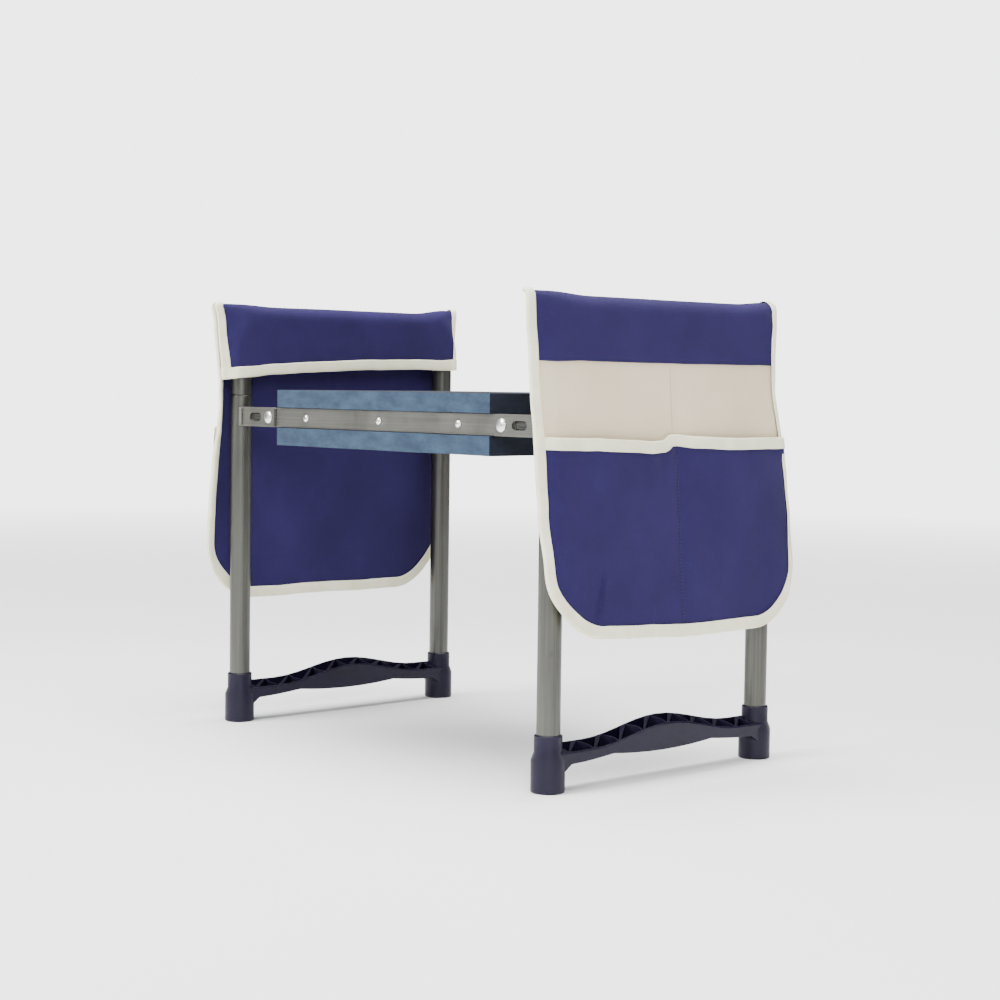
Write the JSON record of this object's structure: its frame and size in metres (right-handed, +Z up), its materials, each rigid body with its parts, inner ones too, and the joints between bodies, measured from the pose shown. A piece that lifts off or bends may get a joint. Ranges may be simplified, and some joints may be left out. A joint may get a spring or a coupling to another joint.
{
  "type": "garden kneeler seat",
  "caption": "Folding garden kneeler and seat: a board with foam pads on both faces, carried between tubular end frames with moulded foot braces and hanging tool pouches.",
  "frame": {"origin": "on the floor, under the middle of the overall box", "axes": "+X along the seat towards the right end frame, +Y from the front edge of the seat to the rear edge, +Z up"},
  "size_m": [0.5626, 0.336, 0.4471],
  "materials": {
    "grey_paint": "semi-gloss metallic grey paint",
    "bright_zinc": "bright zinc plating",
    "spring_steel": "plain spring steel",
    "plastic": "satin moulded plastic",
    "foam": "closed-cell foam with a matte, faintly mottled skin",
    "board": "raw plywood, hidden between the pads",
    "canvas": "woven navy polyester with pale binding"
  },
  "bodies": {
    "seat": {"seat_board": "board", "upper_pad": "foam", "lower_pad": "foam", "front_rail": "grey_paint", "rear_rail": "grey_paint", "front_rail_screw_left": "bright_zinc", "front_rail_screw_middle": "bright_zinc", "front_rail_screw_right": "bright_zinc", "rear_rail_screw_left": "bright_zinc", "rear_rail_screw_middle": "bright_zinc", "rear_rail_screw_right": "bright_zinc", "left_front_pivot_rivet": "bright_zinc", "left_rear_pivot_rivet": "bright_zinc", "right_front_pivot_rivet": "bright_zinc", "right_rear_pivot_rivet": "bright_zinc"},
    "left_frame": {"left_bow": "grey_paint", "left_foot_brace": "plastic", "left_pouch": "canvas", "left_pouch_pockets": "canvas", "left_front_leg": "grey_paint", "left_front_hinge_bracket": "grey_paint", "left_rear_leg": "grey_paint", "left_rear_hinge_bracket": "grey_paint"},
    "right_frame": {"right_bow": "grey_paint", "right_foot_brace": "plastic", "right_pouch": "canvas", "right_pouch_pockets": "canvas", "right_front_leg": "grey_paint", "right_front_hinge_bracket": "grey_paint", "right_rear_leg": "grey_paint", "right_rear_hinge_bracket": "grey_paint"},
    "left_front_lock": {"left_front_lock_spring": "spring_steel"},
    "left_rear_lock": {"left_rear_lock_spring": "spring_steel"},
    "right_front_lock": {"right_front_lock_spring": "spring_steel"},
    "right_rear_lock": {"right_rear_lock_spring": "spring_steel"}
  },
  "joints": [
    {"name": "left_fold", "type": "hinge", "parent": "seat", "child": "left_frame", "pos_m": [-0.184, 0, 0.329], "axis": [0, -1, 0], "range_deg": [0, 90]},
    {"name": "right_fold", "type": "hinge", "parent": "seat", "child": "right_frame", "pos_m": [0.184, 0, 0.329], "axis": [0, 1, 0], "range_deg": [0, 60]},
    {"name": "left_front_lock_press", "type": "slide", "parent": "seat", "child": "left_front_lock", "axis": [0, 1, 0], "range_m": [0, 0.0026], "stiffness_N_per_m": 400, "springref_m": -0.0005},
    {"name": "left_rear_lock_press", "type": "slide", "parent": "seat", "child": "left_rear_lock", "axis": [0, -1, 0], "range_m": [0, 0.0026], "stiffness_N_per_m": 400, "springref_m": -0.0005},
    {"name": "right_front_lock_press", "type": "slide", "parent": "seat", "child": "right_front_lock", "axis": [0, 1, 0], "range_m": [0, 0.0026], "stiffness_N_per_m": 400, "springref_m": -0.0005},
    {"name": "right_rear_lock_press", "type": "slide", "parent": "seat", "child": "right_rear_lock", "axis": [0, -1, 0], "range_m": [0, 0.0026], "stiffness_N_per_m": 400, "springref_m": -0.0005}
  ]
}
